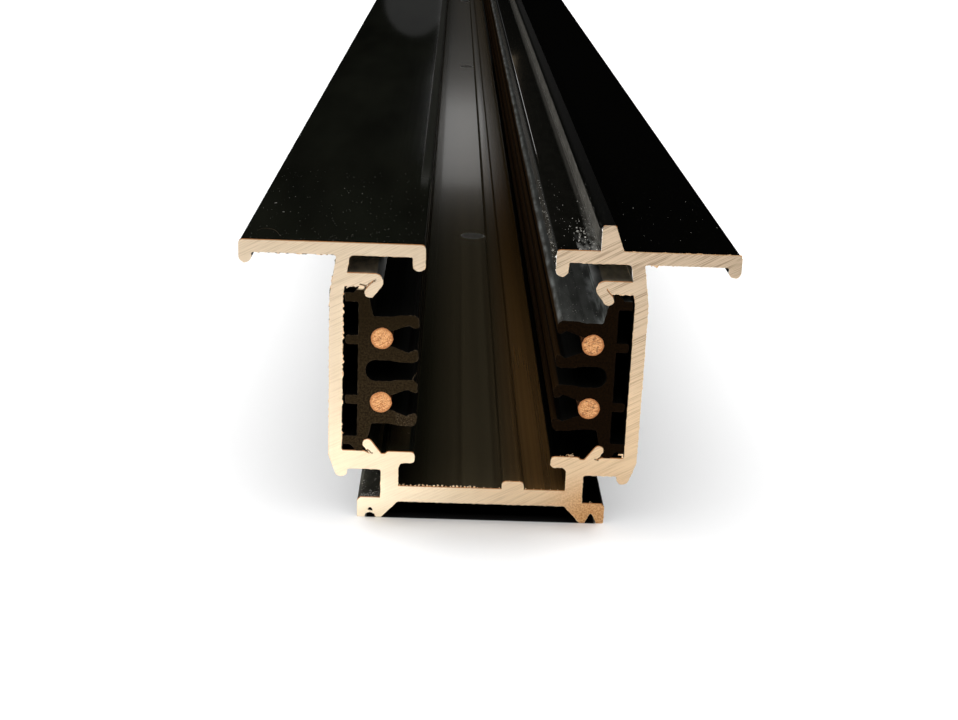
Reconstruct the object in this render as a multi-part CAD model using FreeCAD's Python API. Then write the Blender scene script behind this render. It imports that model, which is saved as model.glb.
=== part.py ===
import FreeCAD, Part
import math
import os

# Recessed three-phase lighting track, sawn square at both ends.
# One extruded aluminium body carries two extruded insulators, and each insulator two round conductors.
# X runs across the track, Y along it, and Z up from the feet to the flange's face.
# Sizes are in millimetres, and angles in degrees. A rise is a height above what lies below it.

# Stock length
track_length = 1000.0

# Ceiling flange and its lips
flange_width = 57.0
flange_thickness = 1.4
mouth_width = 14.8
outer_lip_thickness = 1.45
outer_lip_drop = 1.2
inner_lip_thickness = 1.4
inner_lip_drop = 1.65

# Polarity rib on the flange's face, on the right side only
polarity_rib_setback = 5.0
polarity_rib_height = 3.05
polarity_rib_crest = 1.5
polarity_rib_base = 2.6

# Side walls, which lean in as a neck below the flange
body_width = 36.4
wall_thickness = 1.5
neck_lean = 0.75
neck_rise = 4.8

# Hook under the flange, with its end crimped back over the insulator
hook_gap = 2.1
hook_thickness = 1.45
hook_reach = 4.55
nose_radius = 0.95
curl_thickness = 1.15
curl_drop = 1.35
curl_slope = 52.0
crimp_gap = 0.12

# Shelf under the insulator, with its crimped clip, crease, root groove and inner lip
shelf_thickness = 2.25
shelf_lip_thickness = 1.35
shelf_lip_reach = 8.65
clip_root = 4.45
clip_thickness = 1.05
clip_height = 1.5
clip_lean = 37.0
clip_groove_depth = 0.3
clip_groove_width = 0.5
clip_crease_depth = 0.35
clip_crease_run = 0.75

# Bead along the wall's lower edge
bead_thickness = 1.25
bead_drop = 1.0
bead_taper = 0.95
bead_taper_rise = 2.75

# Base channel and its feet
base_width = 24.0
base_wall = 2.05
base_height = 3.0
floor_thickness = 1.95
foot_rise = 2.1
foot_reach = 2.75
foot_thickness = 2.5
foot_chamfer = 0.4
foot_splay = 1.95
foot_notch_width = 1.4
foot_notch_depth = 1.6
foot_land = 0.85

# Rib on the channel's floor, on the right side only
floor_rib_setback = 2.4
floor_rib_width = 2.6
floor_rib_height = 1.0

# Fixing holes through the floor, on the centreline
fixing_hole_diameter = 4.4
fixing_hole_pitch = 250.0
fixing_hole_count = 4

# Conductors
conductor_diameter = 2.5
conductor_pitch = 7.8

# Insulators
cavity_depth = 1.85
pocket_back = 1.4
pocket_wall = 1.3
throat_grip = 0.4
throat_setback = 0.9
arm_reach = 8.75
arm_swell = 0.22
arm_swell_run = 1.2
contact_lip_length = 0.5
contact_lip_rise = 0.5
contact_valley_depth = 0.35
contact_valley_run = 0.6
web_thickness = 0.85
shoulder_height = 3.55
shoulder_thickness = 1.65
shoulder_foot = 1.15
seat_block_height = 1.8
seat_relief_width = 1.6
seat_relief_run = 0.6
seat_relief_height = 0.8
stub_pitch = 7.3
stub_thickness = 1.05
stub_clearance = 0.4

# Clearances
seat_clearance = 0.05
wall_clearance = 0.1
pocket_clearance = 0.05

# Rounded edges
face_round = 0.5
full_round = 0.7
inner_round = 0.25
groove_round = 0.3
crease_round = 0.05
bend_round = 2.0
neck_round = 0.5
shelf_round = 0.65
notch_round = 0.25
arm_round = 0.7
gap_round = 1.2
point_tolerance = 1e-6

# Heights, stacked up from the feet
floor_bottom = foot_rise
floor_top = floor_bottom + floor_thickness
shelf_lip_bottom = floor_top + base_height
shelf_top = shelf_lip_bottom + shelf_lip_thickness
shelf_bottom = shelf_top - shelf_thickness
pocket_radius = conductor_diameter / 2 + pocket_clearance
holder_rise = pocket_radius + pocket_wall
insulator_bottom = shelf_top + seat_clearance
lower_conductor_z = insulator_bottom + shoulder_height + holder_rise
upper_conductor_z = lower_conductor_z + conductor_pitch
insulator_top = upper_conductor_z + holder_rise + shoulder_height
hook_bottom = insulator_top + seat_clearance
hook_top = hook_bottom + hook_thickness
flange_bottom = hook_top + hook_gap
flange_top = flange_bottom + flange_thickness

# Places across the track, on its right half
flange_outer_x = flange_width / 2
mouth_x = mouth_width / 2
wall_outer_x = body_width / 2
wall_inner_x = wall_outer_x - wall_thickness
base_outer_x = base_width / 2
base_inner_x = base_outer_x - base_wall
foot_outer_x = base_outer_x + foot_reach
web_back_x = wall_inner_x - cavity_depth
conductor_x = web_back_x - pocket_back - pocket_radius
half_length = track_length / 2


def along(start, direction, distance):
    """Point at a distance from start, both as (x, z)."""
    return (start[0] + direction[0] * distance, start[1] + direction[1] * distance)


def at_height(start, direction, height):
    """Point at a height, on the line through start."""
    return along(start, direction, (height - start[1]) / direction[1])


def rounded_wire(corners):
    """Closed wire through (x, z, radius) corners; a radius shrinks where its edges leave no room."""
    points = [FreeCAD.Vector(x, -half_length, z) for x, z, _ in corners]
    count = len(points)
    to_next = [points[(i + 1) % count] - points[i] for i in range(count)]
    half_turns = [(-to_next[i - 1]).getAngle(to_next[i]) / 2 for i in range(count)]
    wanted = [corners[i][2] / math.tan(half_turns[i]) for i in range(count)]
    shares = []
    for i in range(count):
        both = wanted[i] + wanted[(i + 1) % count]
        shares.append(min(1.0, to_next[i].Length / max(both, point_tolerance)))
    edges = []
    ends = []
    for i in range(count):
        setback = wanted[i] * min(shares[i - 1], shares[i])
        back = (-to_next[i - 1]).normalize()
        ahead = FreeCAD.Vector(to_next[i]).normalize()
        start = points[i] + back * setback
        end = points[i] + ahead * setback
        inward = (back + ahead).normalize()
        middle = points[i] + inward * (setback / math.cos(half_turns[i]) * (1 - math.sin(half_turns[i])))
        ends.append((start, middle, end))
    for i in range(count):
        start, middle, end = ends[i]
        if start.distanceToPoint(end) > point_tolerance:
            edges.append(Part.Arc(start, middle, end).toShape())
        next_start = ends[(i + 1) % count][0]
        if end.distanceToPoint(next_start) > point_tolerance:
            edges.append(Part.makeLine(end, next_start))
    return Part.Wire(edges)


def mirrored(corners):
    """The same outline on the left half, in the order that continues the right half's."""
    return [(-x, z, radius) for x, z, radius in reversed(corners)]


def extruded(face):
    """Solid of the full stock length."""
    return face.extrude(FreeCAD.Vector(0, track_length, 0))


def wall_inner_at(height):
    """Place of the wall's inner face at a height, as its neck leans in."""
    leaning = max(0.0, height - flange_bottom + neck_rise)
    return wall_inner_x - neck_lean * leaning / neck_rise


def foot_corners():
    """Floor's underside, splayed foot with its notch, and the side groove up to the shelf."""
    land_x = foot_outer_x - foot_land
    notch_x = land_x - foot_notch_width
    return [
        (base_inner_x, floor_bottom, face_round),
        (base_inner_x + foot_splay, 0, crease_round),
        (notch_x, 0, crease_round),
        ((notch_x + land_x) / 2, foot_notch_depth, notch_round),
        (land_x, 0, crease_round),
        (foot_outer_x, 0, inner_round),
        (foot_outer_x, foot_thickness - foot_chamfer, inner_round),
        (foot_outer_x - foot_chamfer, foot_thickness, crease_round),
        (base_outer_x, foot_thickness, crease_round),
        (base_outer_x, shelf_bottom, inner_round),
    ]


def wall_outer_corners():
    """Shelf's underside, the bead, and the wall's outer face up to the flange."""
    bead_outer_x = wall_outer_x - bead_taper
    bead_inner_x = bead_outer_x - bead_thickness
    bead_bottom = shelf_bottom - bead_drop
    return [
        (bead_inner_x, shelf_bottom, inner_round),
        (bead_inner_x, bead_bottom, full_round),
        (bead_outer_x, bead_bottom, full_round),
        (wall_outer_x, bead_bottom + bead_taper_rise, bend_round),
        (wall_outer_x, flange_bottom - neck_rise, bend_round),
        (wall_outer_x - neck_lean, flange_bottom, inner_round),
    ]


def outer_lip_corners():
    """Flange's underside outside the neck, its turned-down outer lip and its outer edge."""
    lip_inner_x = flange_outer_x - outer_lip_thickness
    lip_bottom = flange_bottom - outer_lip_drop
    return [
        (lip_inner_x, flange_bottom, inner_round),
        (lip_inner_x, lip_bottom, full_round),
        (flange_outer_x, lip_bottom, full_round),
        (flange_outer_x, flange_top, face_round),
    ]


def polarity_rib_corners():
    """Rib on the flange's face: upright towards the mouth and sloping outwards."""
    rib_inner_x = mouth_x + polarity_rib_setback
    rib_top = flange_top + polarity_rib_height
    return [
        (rib_inner_x + polarity_rib_base, flange_top, inner_round),
        (rib_inner_x + polarity_rib_crest, rib_top, face_round),
        (rib_inner_x, rib_top, face_round),
        (rib_inner_x, flange_top, crease_round),
    ]


def inner_lip_corners():
    """Flange's inner edge, the lip at the mouth, and the underside back to the neck and the hook."""
    lip_outer_x = mouth_x + inner_lip_thickness
    lip_bottom = flange_bottom - inner_lip_drop
    return [
        (mouth_x, flange_top, face_round),
        (mouth_x, lip_bottom, full_round),
        (lip_outer_x, lip_bottom, full_round),
        (lip_outer_x, flange_bottom, inner_round),
        (wall_inner_at(flange_bottom), flange_bottom, neck_round),
        (wall_inner_at(hook_top), hook_top, crease_round),
    ]


def hook_frame():
    """Nose centre of the hook, the curl's direction, and its outward normal."""
    slope = math.radians(curl_slope)
    nose = (wall_inner_x - hook_reach + nose_radius, hook_top - nose_radius)
    direction = (math.cos(slope), -math.sin(slope))
    outward = (-math.sin(slope), -math.cos(slope))
    return nose, direction, outward


def curl_tip():
    """Centre of the curl's round tip."""
    nose, direction, outward = hook_frame()
    middle = along(nose, outward, nose_radius - curl_thickness / 2)
    return at_height(middle, direction, hook_bottom - curl_drop + curl_thickness / 2)


def hook_corners():
    """Hook's nose, the curl folded back under it, the crimp's slit and the arm's underside."""
    nose, direction, outward = hook_frame()
    nose_x = wall_inner_x - hook_reach
    outer = along(nose, outward, nose_radius)
    turn = along(outer, direction, (nose_x - outer[0]) / direction[0])
    tip = along(curl_tip(), direction, curl_thickness / 2)
    tip_outer = along(tip, outward, curl_thickness / 2)
    tip_inner = along(tip, outward, -curl_thickness / 2)
    slit = along(nose, outward, nose_radius - curl_thickness)
    slit_far = along(slit, outward, -crimp_gap)
    slit_mouth = at_height(slit_far, direction, hook_bottom)
    return [
        (nose_x, hook_top, nose_radius),
        (*turn, nose_radius),
        (*tip_outer, full_round),
        (*tip_inner, full_round),
        (*slit, 0),
        (*slit_far, 0),
        (*slit_mouth, crease_round),
        (wall_inner_at(hook_bottom), hook_bottom, inner_round),
        (wall_inner_x, flange_bottom - neck_rise, bend_round),
    ]


def clip_frame():
    """Foot of the clip's inner face on the shelf, its direction, and its normal towards the wall."""
    lean = math.radians(clip_lean)
    root = (wall_inner_x - clip_root, shelf_top)
    return root, (math.sin(lean), math.cos(lean)), (math.cos(lean), -math.sin(lean))


def clip_tip():
    """Centre of the clip's round tip."""
    root, direction, wallward = clip_frame()
    middle = along(root, wallward, clip_thickness / 2)
    return at_height(middle, direction, shelf_top + clip_height - clip_thickness / 2)


def clip_corners():
    """Shelf's top with the crease behind the clip, the clip, and the groove at its root."""
    root, direction, wallward = clip_frame()
    tip = along(clip_tip(), direction, clip_thickness / 2)
    crease = at_height(along(root, wallward, clip_thickness), direction, shelf_top - clip_crease_depth)
    groove = at_height(root, direction, shelf_top - clip_groove_depth)
    return [
        (wall_inner_x, shelf_top, inner_round),
        (crease[0] + clip_crease_run, shelf_top, crease_round),
        (*crease, 0),
        (*along(tip, wallward, clip_thickness / 2), full_round),
        (*along(tip, wallward, -clip_thickness / 2), full_round),
        (*groove, groove_round),
        (groove[0] - clip_groove_width, groove[1], groove_round),
        (groove[0] - clip_groove_width - clip_groove_depth, shelf_top, groove_round),
    ]


def shelf_lip_corners():
    """Shelf's inner lip, and the base wall down to the channel's floor."""
    lip_x = wall_inner_x - shelf_lip_reach
    return [
        (lip_x, shelf_top, face_round),
        (lip_x, shelf_lip_bottom, face_round),
        (base_inner_x, shelf_lip_bottom, shelf_round),
        (base_inner_x, floor_top, crease_round),
    ]


def floor_rib_corners():
    """Low rib on the channel's floor."""
    rib_outer_x = floor_rib_setback + floor_rib_width
    rib_top = floor_top + floor_rib_height
    return [
        (rib_outer_x, floor_top, crease_round),
        (rib_outer_x, rib_top, face_round),
        (floor_rib_setback, rib_top, face_round),
        (floor_rib_setback, floor_top, crease_round),
    ]


def make_track_body():
    """Extruded body: both halves of the section in one outline, then the fixing holes."""
    lower = foot_corners() + wall_outer_corners() + outer_lip_corners()
    upper = inner_lip_corners() + hook_corners() + clip_corners() + shelf_lip_corners()
    right_half = lower + polarity_rib_corners() + upper + floor_rib_corners()
    body = extruded(Part.Face(rounded_wire(right_half + mirrored(lower + upper))))
    first_y = -fixing_hole_pitch * (fixing_hole_count - 1) / 2
    for index in range(fixing_hole_count):
        bottom = FreeCAD.Vector(0, first_y + index * fixing_hole_pitch, 0)
        body = body.cut(Part.makeCylinder(fixing_hole_diameter / 2, flange_top, bottom))
    return body


def arm_corners(centre_z, side):
    """One arm of a conductor pocket, from the web out to its contact lip and back to the throat."""
    end_x = wall_inner_x - arm_reach
    throat_x = conductor_x - throat_setback
    throat_rise = conductor_diameter / 2 - throat_grip
    lip_rise = throat_rise + contact_lip_rise
    valley_x = end_x + contact_lip_length + contact_valley_run
    swell_x = throat_x - arm_swell_run
    return [
        (throat_x, centre_z + side * holder_rise, face_round),
        (swell_x, centre_z + side * (holder_rise + arm_swell), face_round),
        (end_x, centre_z + side * (holder_rise + arm_swell), arm_round),
        (end_x, centre_z + side * lip_rise, inner_round),
        (end_x + contact_lip_length, centre_z + side * lip_rise, inner_round),
        (valley_x, centre_z + side * (lip_rise + contact_valley_depth), groove_round),
        (throat_x, centre_z + side * throat_rise, inner_round),
        (conductor_x, centre_z + side * throat_rise, 0),
    ]


def stub_corners(centre_z):
    """Stub on the web's back that keeps the insulator off the wall."""
    tip_x = wall_inner_x - stub_clearance
    top = centre_z + stub_thickness / 2
    bottom = centre_z - stub_thickness / 2
    return [
        (web_back_x, top, crease_round),
        (tip_x, top, inner_round),
        (tip_x, bottom, inner_round),
        (web_back_x, bottom, crease_round),
    ]


def seat_corners(end_z, side, tip, tip_radius):
    """Seat block at one end, relieved at the wall and notched for the crimped tip that holds it."""
    block_x = wall_inner_at(end_z) - wall_clearance
    notch_x = tip[0] + tip_radius + seat_clearance
    notch_z = tip[1] - side * (tip_radius + seat_clearance)
    relief_x = block_x - seat_relief_width
    relief_z = end_z - side * seat_relief_height
    return [
        (web_back_x - shoulder_foot, notch_z, crease_round),
        (notch_x, notch_z, tip_radius + seat_clearance),
        (notch_x, end_z, crease_round),
        (relief_x, end_z, inner_round),
        (relief_x + seat_relief_run, relief_z, inner_round),
        (block_x, relief_z, crease_round),
        (block_x, end_z - side * seat_block_height, crease_round),
        (web_back_x, end_z - side * seat_block_height, inner_round),
    ]


def make_insulator():
    """Right insulator: a web with two conductor pockets, two stubs and two crimped seats."""
    middle_z = (lower_conductor_z + upper_conductor_z) / 2
    shoulder_x = web_back_x - shoulder_thickness
    gap_x = web_back_x - web_thickness
    gap_bottom = lower_conductor_z + holder_rise
    gap_top = upper_conductor_z - holder_rise
    outline = [(shoulder_x, lower_conductor_z - holder_rise, inner_round)]
    outline += arm_corners(lower_conductor_z, -1)
    outline += reversed(arm_corners(lower_conductor_z, 1))
    outline += [(gap_x, gap_bottom, gap_round), (gap_x, gap_top, gap_round)]
    outline += arm_corners(upper_conductor_z, -1)
    outline += reversed(arm_corners(upper_conductor_z, 1))
    outline += [(shoulder_x, upper_conductor_z + holder_rise, inner_round)]
    outline += seat_corners(insulator_top, 1, curl_tip(), curl_thickness / 2)
    outline += stub_corners(middle_z + stub_pitch / 2)
    outline += stub_corners(middle_z - stub_pitch / 2)
    outline += reversed(seat_corners(insulator_bottom, -1, clip_tip(), clip_thickness / 2))
    insulator = extruded(Part.Face(rounded_wire(outline)))
    for conductor_z in (lower_conductor_z, upper_conductor_z):
        insulator = insulator.cut(round_bar(pocket_radius, conductor_z))
    return insulator


def round_bar(radius, height):
    """Round bar of the full stock length, at the conductors' place on the right."""
    start = FreeCAD.Vector(conductor_x, -half_length, height)
    return Part.makeCylinder(radius, track_length, start, FreeCAD.Vector(0, 1, 0))


def make_parts():
    """Every piece of the track by name; the left side's are mirrored from the right's."""
    right_side = {
        "insulator_right": make_insulator(),
        "conductor_right_upper": round_bar(conductor_diameter / 2, upper_conductor_z),
        "conductor_right_lower": round_bar(conductor_diameter / 2, lower_conductor_z),
    }
    parts = {"track_body": make_track_body()}
    for name, shape in right_side.items():
        parts[name] = shape
        parts[name.replace("right", "left")] = shape.mirror(FreeCAD.Vector(), FreeCAD.Vector(1, 0, 0))
    return parts


os.makedirs("parts", exist_ok=True)
for node, shape in make_parts().items():
    shape.exportStep("parts/" + node + ".step")
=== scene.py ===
import functools
import math
import random
from collections import namedtuple

import bmesh
import bpy
from mathutils import Euler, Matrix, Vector, noise


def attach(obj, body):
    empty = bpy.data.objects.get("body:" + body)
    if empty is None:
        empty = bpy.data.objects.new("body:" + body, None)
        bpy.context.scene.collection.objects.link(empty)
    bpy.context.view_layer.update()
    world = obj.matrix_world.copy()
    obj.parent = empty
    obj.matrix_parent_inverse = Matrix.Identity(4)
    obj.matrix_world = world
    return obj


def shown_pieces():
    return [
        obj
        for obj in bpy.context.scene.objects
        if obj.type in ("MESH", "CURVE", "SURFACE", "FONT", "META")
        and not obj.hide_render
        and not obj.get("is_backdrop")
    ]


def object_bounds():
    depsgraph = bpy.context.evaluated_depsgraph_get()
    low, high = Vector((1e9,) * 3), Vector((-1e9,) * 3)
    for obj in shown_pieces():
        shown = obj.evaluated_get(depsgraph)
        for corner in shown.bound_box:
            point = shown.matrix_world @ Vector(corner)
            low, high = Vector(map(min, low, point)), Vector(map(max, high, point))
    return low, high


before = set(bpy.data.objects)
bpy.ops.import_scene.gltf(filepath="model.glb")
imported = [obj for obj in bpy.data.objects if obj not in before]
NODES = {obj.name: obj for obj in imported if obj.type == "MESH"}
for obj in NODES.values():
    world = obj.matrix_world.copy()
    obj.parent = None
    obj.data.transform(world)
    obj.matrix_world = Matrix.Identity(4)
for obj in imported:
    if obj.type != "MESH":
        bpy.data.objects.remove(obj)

MM = 0.001
CAD_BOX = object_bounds()
HALF_LENGTH = CAD_BOX[1].y / MM
FRONT = -HALF_LENGTH

# Camera of the photograph, fitted to the sawn end, in metres and degrees
CAMERA_PLACE = (-0.005035, -0.66484, 0.07551)
CAMERA_TURN = (71.436, -2.194, -0.697)
CAMERA_LENS = 56.574
SENSOR_WIDTH = 36.0
NEAREST_SEEN = 0.01

# Heights on the section, in millimetres above the feet
FLANGE_TOP = 33.55
HOOK_TOP = 30.05
ARM_TOP = 25.22
NECK_FOOT = 24.0
SHELF_TOP = 8.4
FLOOR_RIB_TOP = 5.05
FLOOR_TOP = 4.05
FOOT_TOP = 2.5

# Conductors, fixing holes and the skin that counts as sawn, in millimetres
CONDUCTOR_X = 12.15
CONDUCTOR_MIDDLE = 18.5
CONDUCTOR_RISE = 3.9
HOLE_PITCH = 250.0
HOLE_RADIUS = 2.2
HOLE_RIM = 0.12
HOLE_LIP = 0.1
SAWN_SKIN = 0.004

# Sockets of the mix node that take and give colours
MIX_COLOURS = (6, 7)
MIXED_COLOUR = 2

# A fade is a start, an end and what it runs from and to, unless that is zero and one
# Middle range of a noise, and the upward normals that mean a level face
MOTTLED = (0.3, 0.7)
LEVEL = (0.3, 0.8)

# Noise drawn out along x, y and z in millimetres, and its slope in degrees across the section
Streak = namedtuple("Streak", "stretch detail slope", defaults=(0.0,))

# Noise cut off between two levels, so that it shows as specks, their greatest strength and colour
Speck = namedtuple("Speck", "scale detail start end share colour")


class Graph:
    """A material's node tree, built by short calls that hand on sockets."""

    def __init__(self, name):
        self.material = bpy.data.materials.new(name)
        self.material.use_nodes = True
        self.tree = self.material.node_tree
        self.tree.nodes.clear()
        self.shader = self.node("ShaderNodeBsdfPrincipled")
        output = self.node("ShaderNodeOutputMaterial")
        self.tree.links.new(self.shader.outputs["BSDF"], output.inputs["Surface"])

    def node(self, kind, inputs=(), **settings):
        made = self.tree.nodes.new(kind)
        for key, value in settings.items():
            setattr(made, key, value)
        for socket, value in dict(inputs).items():
            self.feed(made.inputs[socket], value)
        return made

    def feed(self, socket, value):
        if isinstance(value, bpy.types.NodeSocket):
            self.tree.links.new(value, socket)
        else:
            socket.default_value = value

    def set(self, **values):
        """Sets the shader's sockets, named with underscores for spaces."""
        for key, value in values.items():
            self.feed(self.shader.inputs[key.replace("_", " ")], value)

    def math(self, operation, first, second=0.0):
        inputs = {0: first, 1: second}
        return self.node("ShaderNodeMath", inputs, operation=operation).outputs[0]

    def place(self):
        """The object's own coordinates in millimetres."""
        source = self.node("ShaderNodeTexCoord").outputs["Object"]
        inputs = {0: source, "Scale": 1 / MM}
        return self.node("ShaderNodeVectorMath", inputs, operation="SCALE").outputs[0]

    def split(self, vector):
        return self.node("ShaderNodeSeparateXYZ", {0: vector}).outputs[:]

    def upward(self):
        """How far the surface faces up, from minus one to one."""
        return self.split(self.node("ShaderNodeNewGeometry").outputs["True Normal"])[2]

    def noise(self, vector, scale=1.0, detail=3.0, rough=0.55):
        inputs = {"Vector": vector, "Scale": scale, "Detail": detail, "Roughness": rough}
        return self.node("ShaderNodeTexNoise", inputs).outputs["Fac"]

    def torn(self, vector):
        """Rough fine noise, as the saw tears plastic and copper."""
        return self.noise(vector, scale=4.5, detail=4.0, rough=0.7)

    def streaks(self, vector, streak):
        """Noise drawn out along each axis and turned about the track's length."""
        rotation = (0.0, math.radians(streak.slope), 0.0)
        inputs = {"Vector": vector, "Scale": streak.stretch, "Rotation": rotation}
        drawn = self.node("ShaderNodeMapping", inputs, vector_type="TEXTURE").outputs[0]
        return self.noise(drawn, detail=streak.detail)

    def specks(self, vector, speck):
        pattern = self.noise(vector, speck.scale, speck.detail)
        return self.fade(pattern, speck.start, speck.end, 0.0, speck.share)

    def fade(self, value, start, end, low=0.0, high=1.0):
        """Runs smoothly from low to high as value goes from start to end."""
        inputs = {"Value": value, "From Min": start, "From Max": end, "To Min": low, "To Max": high}
        made = self.node("ShaderNodeMapRange", inputs, interpolation_type="SMOOTHSTEP")
        return made.outputs["Result"]

    def mottle(self, value, low=0.0, high=1.0):
        """Runs from low to high over the middle range of a noise."""
        return self.fade(value, *MOTTLED, low, high)

    def within(self, value, low, high, soft):
        """One between low and high, fading out over soft at each side."""
        rising = self.fade(value, low - soft, low)
        falling = self.fade(value, high + soft, high)
        return self.product(rising, falling)

    def product(self, *values):
        return functools.reduce(functools.partial(self.math, "MULTIPLY"), values)

    def most(self, *values):
        return functools.reduce(functools.partial(self.math, "MAXIMUM"), values)

    def hypot(self, first, second):
        squares = self.math("ADD", self.product(first, first), self.product(second, second))
        return self.math("SQRT", squares)

    def blend(self, factor, first, second):
        """Mixes two colours, each a socket or three numbers."""
        inputs = {"Factor": factor}
        for socket, colour in zip(MIX_COLOURS, (first, second)):
            inputs[socket] = (*colour, 1.0) if isinstance(colour, tuple) else colour
        return self.node("ShaderNodeMix", inputs, data_type="RGBA").outputs[MIXED_COLOUR]

    def choose(self, factor, first, second):
        """Mixes two numbers."""
        inputs = {"Factor": factor, "A": first, "B": second}
        return self.node("ShaderNodeMix", inputs, data_type="FLOAT").outputs["Result"]

    def inward(self, y):
        """Distance from the nearer sawn end."""
        return self.math("SUBTRACT", HALF_LENGTH, self.math("ABSOLUTE", y))

    def film(self, film, axes):
        """How strongly a layer lies, fading at its sides and away from the sawn end; layers are dust, films
        and painted light.
        """
        x, y, z = axes
        across = self.within(x, film.x0, film.x1, LAYER_SOFT)
        spread = self.product(across, self.within(z, film.z0, film.z1, LAYER_SOFT))
        return self.product(spread, self.fade(self.inward(y), film.reach, 0.0))

    def bump(self, height, distance):
        inputs = {"Height": height, "Distance": distance}
        return self.node("ShaderNodeBump", inputs).outputs["Normal"]


def sawn_mask(graph, y):
    """One on the two sawn end faces, zero elsewhere."""
    return graph.math("GREATER_THAN", graph.math("ABSOLUTE", y), HALF_LENGTH - SAWN_SKIN)


def drilled_mask(graph, x, y, z):
    """One on the walls and worn rims of the four fixing holes."""
    folded = graph.math("ABSOLUTE", graph.math("SUBTRACT", graph.math("ABSOLUTE", y), HOLE_PITCH))
    reach = graph.hypot(x, graph.math("SUBTRACT", folded, HOLE_PITCH / 2))
    near = graph.math("LESS_THAN", reach, HOLE_RADIUS + HOLE_RIM)
    return graph.product(near, graph.math("LESS_THAN", z, FLOOR_TOP + HOLE_LIP))


# Saw streaks, finer on the left, and where left turns to right
LEFT_LINES = Streak((9.0, 1.0, 0.17), 2.0, -24.0)
RIGHT_LINES = Streak((12.0, 1.0, 0.36), 2.0, -29.0)
FINE_LINES = Streak((5.0, 1.0, 0.11), 3.0, -28.0)
LINES_RUN = (-4.0, 8.0)
FINE_SHARE = 0.6


def saw_lines(graph, place):
    """Streaks across the section, as the blade left them, rising to the right."""
    right = graph.fade(graph.split(place)[0], *LINES_RUN)
    broad = graph.choose(right, graph.streaks(place, LEFT_LINES), graph.streaks(place, RIGHT_LINES))
    fine = graph.streaks(place, FINE_LINES)
    return graph.choose(FINE_SHARE, broad, fine)


# Lit and shaded tones of the sawn metal by place on the section: painted light, palest at the lower left
# foot, and painted shade up the section and to the right
Shade = namedtuple("Shade", "left_foot left_low left_high right_low right_high")

SAWN_PALE = Shade(
    left_foot=(1.0, 0.87, 0.66),
    left_low=(0.82, 0.68, 0.50),
    left_high=(0.78, 0.64, 0.475),
    right_low=(0.84, 0.63, 0.41),
    right_high=(0.68, 0.535, 0.385),
)
SAWN_DARK = Shade(
    left_foot=(0.95, 0.80, 0.59),
    left_low=(0.76, 0.61, 0.44),
    left_high=(0.64, 0.51, 0.36),
    right_low=(0.68, 0.49, 0.305),
    right_high=(0.36, 0.26, 0.17),
)

# Where the shades change: across the base and the body, and up the section
BASE_RUN = (-13.0, 8.0)
BODY_RUN = (-10.0, 16.0)
BASE_RISE = (4.0, 12.0)
BODY_RISE = (8.0, 31.0)
FOOT_FALL = (6.0, 2.0)

# Dark grains over the whole sawn face, and painted warm shade in brown flecks round the lower right foot
SAWN_GRAINS = Speck(9.0, 2.0, 0.62, 0.74, 0.35, (0.42, 0.30, 0.20))
WARM_SHADE_FLECKS = Speck(4.5, 3.0, 0.42, 0.58, 1.0, (0.77, 0.45, 0.195))
WARM_SHADE_DARK = (0.54, 0.23, 0.068)
WARM_SHADE_X = 13.5
WARM_SHADE_FALL = (8.0, 1.0, 0.0, 0.9)

# Painted shade in short ragged lines on the sawn metal, where narrow gaps open at the hooks' folds and the
# clips' roots
ShadedGap = namedtuple("ShadedGap", "x z slope length width")

SHADED_GAPS = (
    ShadedGap(-13.35, 29.10, 32.0, 0.9, 0.16),
    ShadedGap(-14.45, 28.72, -12.0, 0.6, 0.12),
    ShadedGap(-13.85, 28.72, 18.0, 0.5, 0.12),
    ShadedGap(13.62, 28.80, -49.0, 0.8, 0.12),
    ShadedGap(13.45, 8.22, -20.0, 0.4, 0.14),
    ShadedGap(-13.35, 8.38, -36.0, 0.7, 0.16),
)
GAP_SHADE = Speck(4.0, 2.0, 0.36, 0.48, 1.0, (0.13, 0.075, 0.035))


def sawn_shade(graph, shade, foot, high, right):
    """One tone of the sawn metal over the whole section, with painted light at the lower left and painted
    shade higher up and to the right.
    """
    left_low = graph.blend(foot, shade.left_low, shade.left_foot)
    left = graph.blend(high, left_low, shade.left_high)
    return graph.blend(right, left, graph.blend(high, shade.right_low, shade.right_high))


def warm_shaded(graph, place, metal):
    """The metal with painted warm shade, in brown flecks, round the lower right foot."""
    x, _, z = graph.split(place)
    reach = graph.hypot(graph.math("SUBTRACT", x, WARM_SHADE_X), z)
    warm_shade = graph.blend(graph.specks(place, WARM_SHADE_FLECKS), WARM_SHADE_DARK, WARM_SHADE_FLECKS.colour)
    return graph.blend(graph.fade(reach, *WARM_SHADE_FALL), metal, warm_shade)


def gap_shade_mask(graph, x, z, gap):
    """One on a short line of painted shade that rises at its slope."""
    across = graph.math("SUBTRACT", x, gap.x)
    rise = graph.math("SUBTRACT", z, gap.z)
    run, lift = math.cos(math.radians(gap.slope)), math.sin(math.radians(gap.slope))
    along = graph.math("ADD", graph.product(across, run), graph.product(rise, lift))
    off = graph.math("SUBTRACT", graph.product(rise, run), graph.product(across, lift))
    lengthwise = graph.within(along, -gap.length / 2, gap.length / 2, soft=0.15)
    return graph.product(lengthwise, graph.within(off, -gap.width / 2, gap.width / 2, soft=0.06))


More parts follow.
